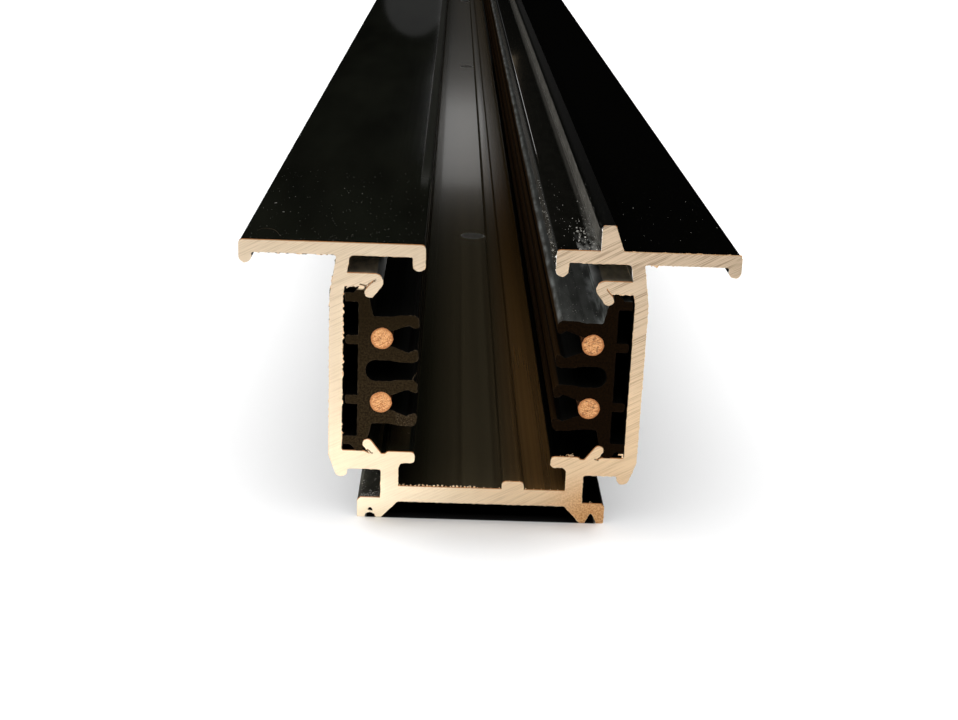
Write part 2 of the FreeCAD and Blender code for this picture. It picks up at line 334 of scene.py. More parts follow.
def sawn_colour(graph, place, lines):
    """Cream bare metal with painted light and shade: palest at the lower left foot, darker up the section,
    browner and more streaked on the right; painted warm shade in brown flecks at the lower right foot, and
    painted shade in ragged lines at narrow gaps.
    """
    x, _, z = graph.split(place)
    foot = graph.fade(z, *FOOT_FALL)
    high = graph.fade(z, *BODY_RISE)
    above_base = graph.fade(z, *BASE_RISE)
    # Painted light and shade: the tones change across the section and up it
    right = graph.choose(above_base, graph.fade(x, *BASE_RUN), graph.fade(x, *BODY_RUN))
    dark, pale = (sawn_shade(graph, shade, foot, high, right) for shade in (SAWN_DARK, SAWN_PALE))
    streaked = graph.blend(graph.fade(lines, start=0.38, end=0.54), dark, pale)
    grained = graph.blend(graph.specks(place, SAWN_GRAINS), streaked, SAWN_GRAINS.colour)
    # Painted warm shade round the lower right foot
    colour = warm_shaded(graph, place, grained)
    # Painted shade in narrow gaps, made ragged by noise
    torn = graph.specks(place, GAP_SHADE)
    for gap in SHADED_GAPS:
        shaded_gap = graph.product(gap_shade_mask(graph, x, z, gap), torn)
        colour = graph.blend(shaded_gap, colour, GAP_SHADE.colour)
    return colour


# Film on the channel's floor: colours, and where they change across it and away from the sawn end
GREY_FILM = ((0.0090, 0.0105, 0.0064), (0.042, 0.040, 0.028))
OLIVE_FILM = (0.080, 0.065, 0.037)
BROWN_FILM = ((0.185, 0.098, 0.032), (0.085, 0.044, 0.0110))
FAR_FILM = (0.110, 0.080, 0.042)
THIN_FILM = (0.010, 0.007, 0.004)
WIPED_FILM = (0.012, 0.008, 0.004)
GREY_DEPTH = (30.0, 150.0)
BROWN_DEPTH = (20.0, 130.0)
FAR_DEPTH = (140.0, 260.0)
OLIVE_RUN = (-9.0, -1.0)
BROWN_RUN = (1.0, 7.0)
THIN_DEPTH = (25.0, 0.0, 0.0, 0.35)
WIPES = Streak((0.9, 500.0, 0.9), 3.0)
WIPE_EDGE = (0.34, 0.70, 0.0, 0.45)


def channel_colour(graph, place):
    """Film on the channel's floor: grey on the left, brown on the right near the sawn end."""
    x, y, _ = graph.split(place)
    inward = graph.inward(y)
    left = graph.blend(graph.fade(inward, *GREY_DEPTH), *GREY_FILM)
    middle = graph.blend(graph.fade(x, *OLIVE_RUN), left, OLIVE_FILM)
    near_brown = graph.blend(graph.fade(inward, *BROWN_DEPTH), *BROWN_FILM)
    brown = graph.blend(graph.fade(inward, *FAR_DEPTH), near_brown, FAR_FILM)
    film = graph.blend(graph.fade(x, *BROWN_RUN), middle, brown)
    thinned = graph.blend(graph.fade(inward, *THIN_DEPTH), film, THIN_FILM)
    wiped = graph.fade(graph.streaks(place, WIPES), *WIPE_EDGE)
    return graph.blend(wiped, thinned, WIPED_FILM)


# Dust, films and painted light on the coating: where each lies on the section, how far it reaches from the
# sawn end, and its colour
Layer = namedtuple("Layer", "x0 x1 z0 z1 reach colour")

COAT_FILMS_AND_LIGHT = (
    # Sawdust on the hook tops, made pale to paint the light that falls into the slots above them
    Layer(-16.6, -12.9, 29.9, 30.2, 60.0, (0.98, 0.83, 0.61)),
    Layer(12.9, 16.6, 29.9, 30.2, 60.0, (0.98, 0.86, 0.64)),
    # Painted highlights on the rounded noses of the hooks
    Layer(-12.9, -12.0, 28.9, 30.1, 60.0, (0.34, 0.35, 0.35)),
    Layer(12.0, 12.9, 28.5, 30.1, 90.0, (0.30, 0.31, 0.31)),
    # Dust on the left foot's top, made bright to paint the light that falls on it from the left
    Layer(-15.0, -12.0, 2.2, 2.7, 25.0, (0.14, 0.136, 0.112)),
    # A brown film on the left shelf's top
    Layer(-13.0, -8.8, 8.2, 8.6, 120.0, (0.050, 0.036, 0.018)),
    # Painted reflection on the right lip's inner face, along the track
    Layer(7.3, 7.5, 30.8, 33.4, 900.0, (0.10, 0.10, 0.094)),
    # A faint film on the flange between the right lip and the rib
    Layer(7.3, 12.3, 33.3, 33.7, 900.0, (0.0065, 0.0063, 0.0050)),
    # Painted highlight on the rib's inner face, along the track
    Layer(12.2, 12.7, 33.6, 35.5, 900.0, (0.15, 0.142, 0.125)),
)
RIB_HAZES = (
    Layer(11.5, 12.6, 33.4, 34.2, 26.0, (0.14, 0.14, 0.13)),
    Layer(9.9, 12.4, 33.4, 33.7, 9.0, (0.15, 0.15, 0.14)),
)
LAYER_SOFT = 0.1
LAYER_PATCHES = Streak((1.0, 3.0, 1.0), 4.0)
LAYER_START = (0.0, 7.0, 0.3, 1.0)
HAZE_PATCHES = Streak((0.8, 2.5, 0.8), 1.5)

# The coating itself: black, lighter on the left in clouds of painted light, with a film on the channel's
# floor and fine specks
COAT_TONES = ((0.0010, 0.0010, 0.0008), (0.0115, 0.0124, 0.0084))
COAT_CLOUDS = Streak((7.0, 40.0, 7.0), 2.0)
LEFT_LIGHT_RUN = (8.0, -8.0)
CHANNEL_RANGE = (FLOOR_TOP - 0.5, FLOOR_TOP + 1.2, 0.3)
COAT_SPECKS = Speck(3.4, 2.0, 0.705, 0.74, 0.35, (0.10, 0.10, 0.092))
SPECK_REACH = 120.0


def coat_colour(graph, place, upward):
    """Black coating, lighter on the left in clouds of painted light, with films of sawdust near the ends,
    brown in the channel, grey dust on top, and painted light, highlights and reflections on the hooks, the
    right lip and the rib.
    """
    axes = graph.split(place)
    x, y, z = axes
    # Painted light: the clouds lighten the coating on the left only
    lit_clouds = graph.product(graph.streaks(place, COAT_CLOUDS), graph.fade(x, *LEFT_LIGHT_RUN))
    colour = graph.blend(lit_clouds, *COAT_TONES)
    facing = graph.fade(upward, *LEVEL)
    channel = graph.product(facing, graph.within(z, *CHANNEL_RANGE))
    colour = graph.blend(channel, colour, channel_colour(graph, place))
    patchy = graph.mottle(graph.streaks(place, LAYER_PATCHES), low=0.6)
    thin_front = graph.fade(graph.inward(y), *LAYER_START)
    # Dust, films and painted light, each in patches and thin at the very front
    for film in COAT_FILMS_AND_LIGHT:
        strength = graph.product(graph.film(film, axes), patchy, thin_front)
        colour = graph.blend(strength, colour, film.colour)
    hazy = graph.fade(graph.streaks(place, HAZE_PATCHES), start=0.36, end=0.66)
    for film in RIB_HAZES:
        colour = graph.blend(graph.product(graph.film(film, axes), hazy), colour, film.colour)
    near = graph.fade(graph.inward(y), SPECK_REACH, 0.0)
    dusty = graph.product(graph.specks(place, COAT_SPECKS), facing, near)
    return graph.blend(dusty, colour, COAT_SPECKS.colour)


# Where the coating is dull: outside the walls, on the rib, and on the left lip's edge behind the front
OUTSIDE_RUN = (11.5, 12.5)
OUTSIDE_FALL = (31.0, 30.0)
RIB_RISE = (FLANGE_TOP + 0.1, FLANGE_TOP + 0.3)
LIP_EDGE = (-8.7, -7.2, 0.2)
LIP_RISE = (30.4, 30.8)
LIP_START = (25.0, 50.0)


def dull_mask(graph, x, y, z):
    """One where the coating is dull."""
    outside = graph.fade(graph.math("ABSOLUTE", x), *OUTSIDE_RUN)
    walls = graph.product(outside, graph.fade(z, *OUTSIDE_FALL))
    edge = graph.product(graph.within(x, *LIP_EDGE), graph.fade(z, *LIP_RISE))
    lip = graph.product(edge, graph.fade(graph.inward(y), *LIP_START))
    return graph.most(walls, graph.fade(z, *RIB_RISE), lip)


# Gloss of the body: the coating, the drawn floor of the channel, and bare metal
BODY_DRAWN = Streak((0.07, 300.0, 0.07), 2.0)
DRAWN_FLOOR_FALL = (6.0, 5.0)
FLOOR_ROUGH = 0.2
DULL_ROUGH = 0.5
BARE_ROUGH = 0.5
BARE_METALLIC = 0.45
FLOOR_GLAZE = 0.15
DRILLED_METAL = (0.62, 0.61, 0.57)
DRAWN_RELIEF = 0.02


def coated_aluminium():
    """Satin black coating, bare where it was sawn and drilled."""
    graph = Graph("coated_aluminium")
    place = graph.place()
    x, y, z = graph.split(place)
    drilled = drilled_mask(graph, x, y, z)
    bare = graph.most(sawn_mask(graph, y), drilled)
    lines = saw_lines(graph, place)
    drawn = graph.streaks(place, BODY_DRAWN)
    upward = graph.upward()
    coat = coat_colour(graph, place, upward)
    drawn_floor = graph.product(graph.fade(z, *DRAWN_FLOOR_FALL), graph.fade(upward, *LEVEL))
    satin = graph.choose(drawn_floor, graph.mottle(drawn, low=0.045, high=0.06), FLOOR_ROUGH)
    coat_rough = graph.choose(dull_mask(graph, x, y, z), satin, DULL_ROUGH)
    bared = graph.blend(drilled, sawn_colour(graph, place, lines), DRILLED_METAL)
    graph.set(
        Base_Color=graph.blend(bare, coat, bared),
        Metallic=graph.product(bare, BARE_METALLIC),
        Roughness=graph.choose(bare, coat_rough, BARE_ROUGH),
        Specular_IOR_Level=0.35,
        Anisotropic=1.0,
        Coat_Weight=graph.product(drawn_floor, graph.fade(bare, 0.0, 1.0, FLOOR_GLAZE, 0.0)),
        Coat_Roughness=0.05,
        Tangent=graph.node("ShaderNodeTangent", direction_type="RADIAL", axis="Y").outputs[0],
    )
    height = graph.choose(bare, graph.product(drawn, DRAWN_RELIEF), lines)
    graph.set(Normal=graph.bump(height, distance=0.00005))
    return graph.material


# Sawn plastic: colours of its grain, with painted shade to the right and up; metal smeared under the left
# hook; specks on the lower left arm
PALE_LEFT = ((0.025, 0.0170, 0.0082), (0.014, 0.0090, 0.0037))
PALE_RIGHT = (0.0062, 0.0028, 0.0007)
DARK_GRAIN = ((0.0085, 0.0053, 0.0022), (0.0030, 0.0014, 0.0004))
PLASTIC_RUN = (-10.0, 10.0)
PLASTIC_RISE = (17.0, 26.0)
SMEARED_METAL = (0.74, 0.58, 0.40)
SMEARED_X = (-15.1, -13.7, 0.2)
SMEARED_RISE = (28.05, 28.4)
SMEARED_LINES = Streak((1.2, 1.0, 0.25), 3.0, -15.0)
ARM_SPECKS = Speck(8.0, 2.0, 0.57, 0.66, 0.5, (0.20, 0.15, 0.10))
LOWER_ARM_X = (-10.2, -7.9, 0.5)
LOWER_ARM_Z = (11.3, 13.2, 0.3)


def plastic_cut_colour(graph, place, grain):
    """Brown sawn plastic, with painted shade making it darker on the right and higher up on the left, and
    metal smeared over it under the left hook.
    """
    x, _, z = graph.split(place)
    # Painted shade: darker to the right, and up the left side
    right = graph.fade(x, *PLASTIC_RUN)
    pale_left = graph.blend(graph.fade(z, *PLASTIC_RISE), *PALE_LEFT)
    pale = graph.blend(right, pale_left, PALE_RIGHT)
    dark = graph.blend(right, *DARK_GRAIN)
    cut = graph.blend(graph.fade(grain, start=0.40, end=0.60), dark, pale)
    under_hook = graph.product(graph.within(x, *SMEARED_X), graph.fade(z, *SMEARED_RISE))
    smear = graph.product(under_hook, graph.fade(graph.streaks(place, SMEARED_LINES), start=0.44, end=0.54))
    smeared = graph.blend(smear, cut, SMEARED_METAL)
    lower_arm = graph.product(graph.within(x, *LOWER_ARM_X), graph.within(z, *LOWER_ARM_Z))
    speckled = graph.product(lower_arm, graph.specks(place, ARM_SPECKS))
    return graph.blend(speckled, smeared, ARM_SPECKS.colour)


# Plastic's skin, and the dust on the right insulator's upper arm and neck
SKIN_TONES = ((0.0022, 0.0021, 0.0018), (0.0050, 0.0048, 0.0042))
SKIN_BROWN = (0.016, 0.008, 0.0028)
PLASTIC_DRAWN = Streak((0.35, 300.0, 0.35), 3.0)
BROWN_ARM_X = (7.8, 8.4, 0.2)
DUST_PATCHES = Streak((1.2, 6.0, 1.2), 4.0)
DUST_TONES = ((0.060, 0.062, 0.058), (0.17, 0.18, 0.175))
DUST_EDGE = (0.35, 0.65)
DUST_RISE = (ARM_TOP - 0.6, ARM_TOP - 0.4)
DUST_RUN = (-2.0, 2.0)
DUST_LEVEL = (0.3, 0.9)
NECK_X = (12.6, 14.2, 0.2)
NECK_UPRIGHT = (0.6, 0.3)
ARM_RIM = (8.7, 8.2)
NECK_RIM = (12.1, 12.7)


def arm_dust(graph, place, skin):
    """The skin under the dust that settled on the right insulator's top and against its neck."""
    x, _, z = graph.split(place)
    upward = graph.upward()
    patches = graph.streaks(place, DUST_PATCHES)
    exposed = graph.product(graph.fade(z, *DUST_RISE), graph.fade(x, *DUST_RUN))
    upright = graph.product(graph.fade(upward, *NECK_UPRIGHT), graph.within(x, *NECK_X))
    bearing = graph.most(graph.fade(upward, *DUST_LEVEL), upright)
    settled = graph.product(exposed, bearing, graph.mottle(patches, low=0.5))
    rims = graph.most(graph.fade(x, *ARM_RIM), graph.fade(x, *NECK_RIM))
    dust = graph.blend(graph.product(rims, graph.fade(patches, *DUST_EDGE)), *DUST_TONES)
    return graph.blend(settled, skin, dust)


# Gloss of the plastic: its skin, the left arms' ends, and where it was sawn
ARM_END_X = (-8.3, -7.9, 0.2)
ARM_END_ROUGH = 0.12
PLASTIC_CUT_ROUGH = 0.85
PLASTIC_DRAWN_RELIEF = 0.1


def insulator_plastic():
    """Black extruded plastic with drawn lines, dusty on the right arm's top, rough where it was sawn."""
    graph = Graph("insulator_pvc")
    place = graph.place()
    x, y, _ = graph.split(place)
    sawn = sawn_mask(graph, y)
    grain = graph.torn(place)
    drawn = graph.streaks(place, PLASTIC_DRAWN)
    skin = graph.blend(drawn, *SKIN_TONES)
    browned = graph.blend(graph.within(x, *BROWN_ARM_X), skin, SKIN_BROWN)
    arm_end = graph.within(x, *ARM_END_X)
    skin_rough = graph.choose(arm_end, graph.mottle(drawn, low=0.42, high=0.55), ARM_END_ROUGH)
    cut = plastic_cut_colour(graph, place, grain)
    graph.set(
        Base_Color=graph.blend(sawn, arm_dust(graph, place, browned), cut),
        Roughness=graph.choose(sawn, skin_rough, PLASTIC_CUT_ROUGH),
        Specular_IOR_Level=0.02,
    )
    height = graph.choose(sawn, graph.product(drawn, PLASTIC_DRAWN_RELIEF), grain)
    graph.set(Normal=graph.bump(height, distance=0.00003))
    return graph.material


def conductor_reach(graph, axes):
    """Distance from the axis of whichever conductor is shaded."""
    x, _, z = axes
    across = graph.math("SUBTRACT", graph.math("ABSOLUTE", x), CONDUCTOR_X)
    off_middle = graph.math("ABSOLUTE", graph.math("SUBTRACT", z, CONDUCTOR_MIDDLE))
    return graph.hypot(across, graph.math("SUBTRACT", off_middle, CONDUCTOR_RISE))


# Copper: drawn skin, and the sawn end's mottle, flecks, pits and rim
COPPER_SKIN = ((0.36, 0.15, 0.07), (0.55, 0.25, 0.12))
COPPER_DRAWN = Streak((0.25, 200.0, 0.25), 3.0)
COPPER_CUT = ((0.37, 0.132, 0.037), (0.69, 0.37, 0.152))
COPPER_HATCH = Streak((1.6, 1.0, 0.13), 2.0, -28.0)
HATCH_SHARE = 0.4
COPPER_FLECKS = Speck(7.0, 2.0, 0.60, 0.70, 0.6, (0.74, 0.56, 0.38))
COPPER_PITS = Speck(2.4, 3.0, 0.56, 0.61, 1.0, (0.13, 0.042, 0.012))
PIT_RUN = (-6.0, 6.0, 0.25, 0.75)
COPPER_RIM = (0.95, 1.22, 0.0, 0.85)
RIM_COLOUR = (0.36, 0.125, 0.030)
SKIN_METALLIC = 0.85
CUT_METALLIC = 0.4
COPPER_CUT_ROUGH = 0.5


def copper_cut_colour(graph, place, torn):
    """Mottled copper, flecked, dark at the rim, and pitted on the right."""
    axes = graph.split(place)
    cut = graph.blend(graph.fade(torn, start=0.43, end=0.55), *COPPER_CUT)
    cut = graph.blend(graph.specks(place, COPPER_FLECKS), cut, COPPER_FLECKS.colour)
    pitted = graph.product(graph.specks(place, COPPER_PITS), graph.fade(axes[0], *PIT_RUN))
    cut = graph.blend(pitted, cut, COPPER_PITS.colour)
    rim = graph.fade(conductor_reach(graph, axes), *COPPER_RIM)
    return graph.blend(rim, cut, RIM_COLOUR)


def conductor_copper():
    """Drawn copper, torn at the sawn ends."""
    graph = Graph("conductor_copper")
    place = graph.place()
    sawn = sawn_mask(graph, graph.split(place)[1])
    torn = graph.choose(HATCH_SHARE, graph.torn(place), graph.streaks(place, COPPER_HATCH))
    drawn = graph.streaks(place, COPPER_DRAWN)
    skin = graph.blend(drawn, *COPPER_SKIN)
    graph.set(
        Base_Color=graph.blend(sawn, skin, copper_cut_colour(graph, place, torn)),
        Metallic=graph.choose(sawn, SKIN_METALLIC, CUT_METALLIC),
        Roughness=graph.choose(sawn, graph.mottle(drawn, low=0.25, high=0.4), COPPER_CUT_ROUGH),
        Normal=graph.bump(graph.choose(sawn, drawn, torn), distance=0.00008),
    )
    return graph.material


# Tints of a burr, held by its corners, and the colours that they bring: cream, brown, a painted highlight
# in white and painted shadow in near black
TINT = "standing"
HIGHLIGHT_TINT = -1.0
CREAM_TINT = 0.0
LIGHT_BROWN_TINT = 0.5
BROWN_TINT = 1.0
SHADOW_TINT = 2.0
SWARF_CREAM = ((0.58, 0.34, 0.16), (0.92, 0.72, 0.48))
SWARF_HIGHLIGHT = (0.97, 0.96, 0.93)
SWARF_BROWN = (0.38, 0.16, 0.048)
SWARF_SHADOW = (0.05, 0.032, 0.018)


def bare_swarf():
    """Torn bare metal of burrs and crumbs, tinted by the burr's own tint, which also paints highlights and
    shadows on it.
    """
    graph = Graph("bare_swarf")
    torn = graph.noise(graph.place(), scale=4.0, detail=4.0)
    tint = graph.node("ShaderNodeAttribute", attribute_name=TINT).outputs["Fac"]
    cream = graph.blend(graph.fade(torn, start=0.35, end=0.65), *SWARF_CREAM)
    # Painted highlight in white where the tint is below zero
    highlighted = graph.blend(graph.fade(tint, CREAM_TINT, HIGHLIGHT_TINT), cream, SWARF_HIGHLIGHT)
    browned = graph.blend(tint, highlighted, SWARF_BROWN)
    graph.set(
        # Painted shadow in near black where the tint is above one
        Base_Color=graph.blend(graph.fade(tint, BROWN_TINT, SHADOW_TINT), browned, SWARF_SHADOW),
        Metallic=0.3,
        Roughness=graph.mottle(torn, low=0.35, high=0.55),
        Normal=graph.bump(torn, distance=0.00004),
    )
    return graph.material


# Grit: bright and dull colours, and where the dull sort lies
GRIT_BRIGHT = ((0.16, 0.155, 0.14), (0.62, 0.60, 0.55))
GRIT_DULL = ((0.05, 0.048, 0.043), (0.20, 0.19, 0.17))
GRIT_DULL_RUN = (4.0, -2.0)
GRIT_DULL_RISE = (20.0, 30.0)


def settled_dust():
    """Pale grey grit, duller on the left flange."""
    graph = Graph("settled_dust")
    place = graph.place()
    x, _, z = graph.split(place)
    tone = graph.noise(place, scale=3.0)
    bright, dull = (graph.blend(graph.mottle(tone), *pair) for pair in (GRIT_BRIGHT, GRIT_DULL))
    left_flange = graph.product(graph.fade(x, *GRIT_DULL_RUN), graph.fade(z, *GRIT_DULL_RISE))
    graph.set(
        Base_Color=graph.blend(left_flange, bright, dull),
        Roughness=graph.mottle(tone, low=0.6, high=0.9),
        Normal=graph.bump(tone, distance=0.00003),
    )
    return graph.material


HAIR_LEFT = ((0.018, 0.012, 0.006), (0.055, 0.040, 0.024))
HAIR_RIGHT = (0.008, 0.004, 0.0012)
HAIR_RUN = (-8.0, 8.0)


def plastic_hair():
    """Fine drawn-out plastic, brown, darker on the right."""
    graph = Graph("plastic_hair")
    place = graph.place()
    tone = graph.noise(place, scale=2.0)
    right = graph.fade(graph.split(place)[0], *HAIR_RUN)
    graph.set(
        Base_Color=graph.blend(right, graph.blend(tone, *HAIR_LEFT), HAIR_RIGHT),
        Roughness=graph.mottle(tone, low=0.4, high=0.6),
        Specular_IOR_Level=0.05,
        Normal=graph.bump(tone, distance=0.00001),
    )
    return graph.material


FLOOR_TONES = ((0.90, 0.90, 0.90), (0.93, 0.93, 0.93))
# Painted shadow on the floor under the track
SHADOW_X = (-13.5, 13.5, 0.5)
SHADOW_Y = (-HALF_LENGTH, HALF_LENGTH, 0.2)
SHADOW_TONE = (0.01, 0.01, 0.01)


def floor_paint():
    """Plain pale studio floor, with a painted shadow only where the track covers it."""
    graph = Graph("studio_floor")
    place = graph.place()
    x, y, _ = graph.split(place)
    pale = graph.blend(graph.noise(place, scale=0.02, detail=2.0), *FLOOR_TONES)
    shadowed = graph.product(graph.within(x, *SHADOW_X), graph.within(y, *SHADOW_Y))
    graph.set(
        Base_Color=graph.blend(shadowed, pale, SHADOW_TONE),
        Roughness=0.9,
        Specular_IOR_Level=0.1,
    )
    return graph.material


WALL_TONES = ((1.0, 1.0, 1.0), (0.98, 0.98, 0.98))


def wall_paint():
    """Evenly lit white."""
    graph = Graph("studio_wall")
    mottle = graph.noise(graph.place(), scale=0.001, detail=2.0)
    graph.set(
        Base_Color=(0.9, 0.9, 0.9, 1.0),
        Emission_Color=graph.blend(mottle, *WALL_TONES),
        Emission_Strength=1.05,
    )
    return graph.material


def dress(node, material):
    node.data.materials.clear()
    node.data.materials.append(material)


def add_object(name, data):
    thing = bpy.data.objects.new(name, data)
    bpy.context.collection.objects.link(thing)
    return thing


def add_piece(name, shape, material):
    """Turns a bmesh drawn in millimetres into a piece that rides on the track."""
    mesh = bpy.data.meshes.new(name)
    bmesh.ops.scale(shape, vec=(MM, MM, MM), verts=shape.verts)
    bmesh.ops.recalc_face_normals(shape, faces=shape.faces)
    shape.to_mesh(mesh)
    shape.free()
    mesh.materials.append(material)
    piece = add_object(name, mesh)
    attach(piece, "root")


OUTLINE_TOLERANCE = 0.001
OUTLINE_DECIMALS = 4


def end_outlines(node, end):
    """Closed outlines of the sawn face at one end (-1 front, 1 back) as (x, z) in millimetres.

    Each runs with the material on its left, as seen from the front."""
    mesh = node.data
    spots = {}
    for vertex in mesh.vertices:
        x, y, z = (value / MM for value in vertex.co)
        if abs(y - end * HALF_LENGTH) < OUTLINE_TOLERANCE:
            spots[vertex.index] = (round(x, OUTLINE_DECIMALS), round(z, OUTLINE_DECIMALS))
    sides = set()
    for polygon in mesh.polygons:
        if all(index in spots for index in polygon.vertices):
            corners = [spots[index] for index in polygon.vertices]
            sides.update(zip(corners, corners[1:] + corners[:1]))
    rim = {a: b for a, b in sides if (b, a) not in sides and a != b}
    loops = []
    while rim:
        loop = [min(rim)]
        while loop[-1] in rim:
            loop.append(rim.pop(loop[-1]))
        loops.append(loop if end < 0 else loop[::-1])
    return loops


def walked(loop, step, phase):
    """Points along a closed outline with the outward direction and the distance gone at each.

    The phase is where a point lies in its step, from zero to one."""
    gone = 0.0
    for (ax, az), (bx, bz) in zip(loop, loop[1:]):
        length = math.hypot(bx - ax, bz - az)
        count = max(1, round(length / step))
        for index in range(count):
            share = (index + phase) / count
            spot = (ax + (bx - ax) * share, az + (bz - az) * share)
            yield spot, ((bz - az) / length, (ax - bx) / length), gone + length * share
        gone += length


# Saw burr: how it is sampled along an outline, how thick it is and how ragged, in millimetres
BURR_STEP = 0.1
BURR_ROOT = 0.04
BURR_SETBACK = 0.006
BURR_DEPTH = 0.11
BURR_LEAST = 0.008
BURR_PITCH = 0.4
BURR_MEAN = 0.3
BURR_COARSE = 1.1
BURR_FINE = 0.6
FINE_RATE = 2.9
FINE_ROW = 7.0
LOOP_SEED = 3.7
UPWARD = 0.6

# Parts of the outline with a burr of their own; the back end has only the first few of them
Zone = namedtuple("Zone", "x0 x1 z0 z1 height pitch")

BODY_ZONES = (
    Zone(-16.95, -16.3, 8.6, 28.4, 0.22, 0.45),
    Zone(-16.5, -13.7, 28.3, 28.9, 0.2, 0.6),
    Zone(-26.5, -18.4, 31.9, 32.4, 0.14, 0.6),
    Zone(13.8, 16.9, 28.3, 28.9, 0.18, 0.5),
    Zone(18.1, 19.0, 31.9, 32.3, 0.3, 0.3),
    Zone(-28.5, -8.0, 33.3, 33.7, 0.11, 0.5),
    Zone(14.5, 28.6, 33.2, 33.7, 0.20, 0.6),
    Zone(8.6, 17.0, 31.9, 32.4, 0.08, 0.4),
    Zone(-16.5, -9.0, 8.0, 8.6, 0.09, 0.5),
    Zone(7.2, 7.7, 31.2, 33.6, 0.16, 0.3),
    Zone(12.2, 13.0, 35.8, 36.7, 0.12, 0.3),
    Zone(-19.2, -17.4, 26.0, 31.6, 0.13, 0.5),
)
PLASTIC_ZONES = (
    Zone(-9.3, -7.9, 11.0, 26.0, 0.10, 0.35),
    Zone(7.9, 9.3, 11.0, 26.0, 0.08, 0.35),
)
BACK_ZONES = 2

# Burr's usual height on each material, and the least that stands up from the body's upper edges
BODY_BURR = 0.07
BODY_LIP = 0.10
PLASTIC_BURR = 0.05
COPPER_BURR = 0.06

# Where a burr is tinted: the right flange, under the left flange and down the left neck, where the tint is
# painted shadow
RIGHT_FLANGE_X = 14.0
LEFT_FLANGE_X = -17.5
LEFT_NECK_X = (-20.0, -16.0)
TINT_PITCH = 0.7
TINT_ROW = 3.0


def burr_height(spot, gone, zones, base, seed):
    """Ragged height of the burr, greater inside the zones."""
    height, pitch = base, BURR_PITCH
    for zone in zones:
        if zone.x0 <= spot[0] <= zone.x1 and zone.z0 <= spot[1] <= zone.z1:
            height, pitch = zone.height, zone.pitch
    coarse = noise.noise(Vector((gone / pitch, seed, 0.0)))
    fine = noise.noise(Vector((gone * FINE_RATE / pitch, seed, FINE_ROW)))
    return max(BURR_LEAST, height * (BURR_MEAN + BURR_COARSE * coarse + BURR_FINE * fine))


def inside_box(x, z):
    """The nearest spot of the section that lies inside the track's box."""
    low, high = (corner / MM for corner in CAD_BOX)
    return min(max(x, low.x), high.x), min(max(z, low.z), high.z)


def burr_tint(x, z, ox, oz, gone):
    """Brown on edges that face up, a painted highlight in white on the right lip's edge, and painted shadow
    in dark patches at the upper left.
    """
    above_hooks = z > HOOK_TOP
    if oz > UPWARD:
        return LIGHT_BROWN_TINT if x > RIGHT_FLANGE_X and above_hooks else BROWN_TINT
    # Painted highlight on left-facing edges at the upper right
    if ox < -UPWARD and x > 0.0 and above_hooks:
        return HIGHLIGHT_TINT
    # Painted shadow in patches under the left flange and down the left neck
    under_left_flange = oz < -UPWARD and x < LEFT_FLANGE_X and above_hooks
    left_neck = ox < -UPWARD and LEFT_NECK_X[0] < x < LEFT_NECK_X[1] and z > NECK_FOOT
    patch = noise.noise(Vector((gone / TINT_PITCH, 0.0, TINT_ROW))) > 0.0
    return SHADOW_TINT if (under_left_flange or left_neck) and patch else CREAM_TINT


def bridge(shape, low, high):
    """Faces between two rings with as many corners."""
    for first in range(len(low)):
        second = (first + 1) % len(low)
        shape.faces.new((low[first], low[second], high[second], high[first]))


def burr_ring(shape, loop, end, zones, base, lip, seed):
    """A ragged lip round one outline, a triangle in section, rooted in the cut edge."""
    tint = shape.verts.layers.float[TINT]
    front = end * (HALF_LENGTH - BURR_SETBACK)
    back = end * (HALF_LENGTH - BURR_SETBACK - BURR_DEPTH)
    rows = []
    for (x, z), (ox, oz), gone in walked(loop, BURR_STEP, phase=0.5):
        height = max(burr_height((x, z), gone, zones, base, seed), lip * (oz > UPWARD))
        root = (x - ox * BURR_ROOT, z - oz * BURR_ROOT)
        tip = inside_box(x + ox * height, z + oz * height)
        corners = ((root[0], front, root[1]), (tip[0], front, tip[1]), (root[0], back, root[1]))
        row = [shape.verts.new(corner) for corner in corners]
        for vertex in row:
            vertex[tint] = burr_tint(x, z, ox, oz, gone)
        rows.append(row)
    for low, high in zip(rows, rows[1:] + rows[:1]):
        bridge(shape, low, high)


def make_burrs(node_name, material, base, zones=(), lip=0.0):
    """Saw burr on both ends of a node; the zones are those seen at the photographed end."""
    shape = bmesh.new()
    shape.verts.layers.float.new(TINT)
    for end, end_zones in ((-1, zones), (1, zones[:BACK_ZONES])):
        for index, loop in enumerate(end_outlines(NODES[node_name], end)):
            burr_ring(shape, loop, end, end_zones, base, lip, LOOP_SEED * end + index)
    add_piece(f"{node_name}_saw_burr", shape, material)


CHIP_POINTS = 9


def chip(shape, rng, place, size, flat):
    """One irregular grain: the hull of a few scattered points, flattened."""
    spread = ((-1, 1), (-1, 1), (-flat, flat))
    verts = []
    for _ in range(CHIP_POINTS):
        offset = [rng.uniform(*limits) * size / 2 for limits in spread]
        verts.append(shape.verts.new([p + o for p, o in zip(place, offset)]))
    hull = bmesh.ops.convex_hull(shape, input=verts)
    loose = [item for item in hull["geom_interior"] if isinstance(item, bmesh.types.BMVert)]
    bmesh.ops.delete(shape, geom=loose, context="VERTS")


# Beads along the channel floor's edge: sizes and pitches, dense on the left and sparse on the right
LEFT_BEADS = ((0.26, 0.36), (0.32, 0.55))
RIGHT_BEADS = ((0.10, 0.18), (0.6, 1.2))
BEADS_FROM, BEADS_TO = -9.8, 9.6
BEADS_TURN = -0.5
BEAD_SETBACK = 0.19
BEAD_RISE = 0.08
BEAD_SEED = 11
FLOOR_RIB_X = (2.2, 5.2)
RIB_BEADS_X = (2.9, 3.3, 4.5)
RIB_BEAD_SIZE = 0.2
RIB_BEAD_SETBACK = 0.12


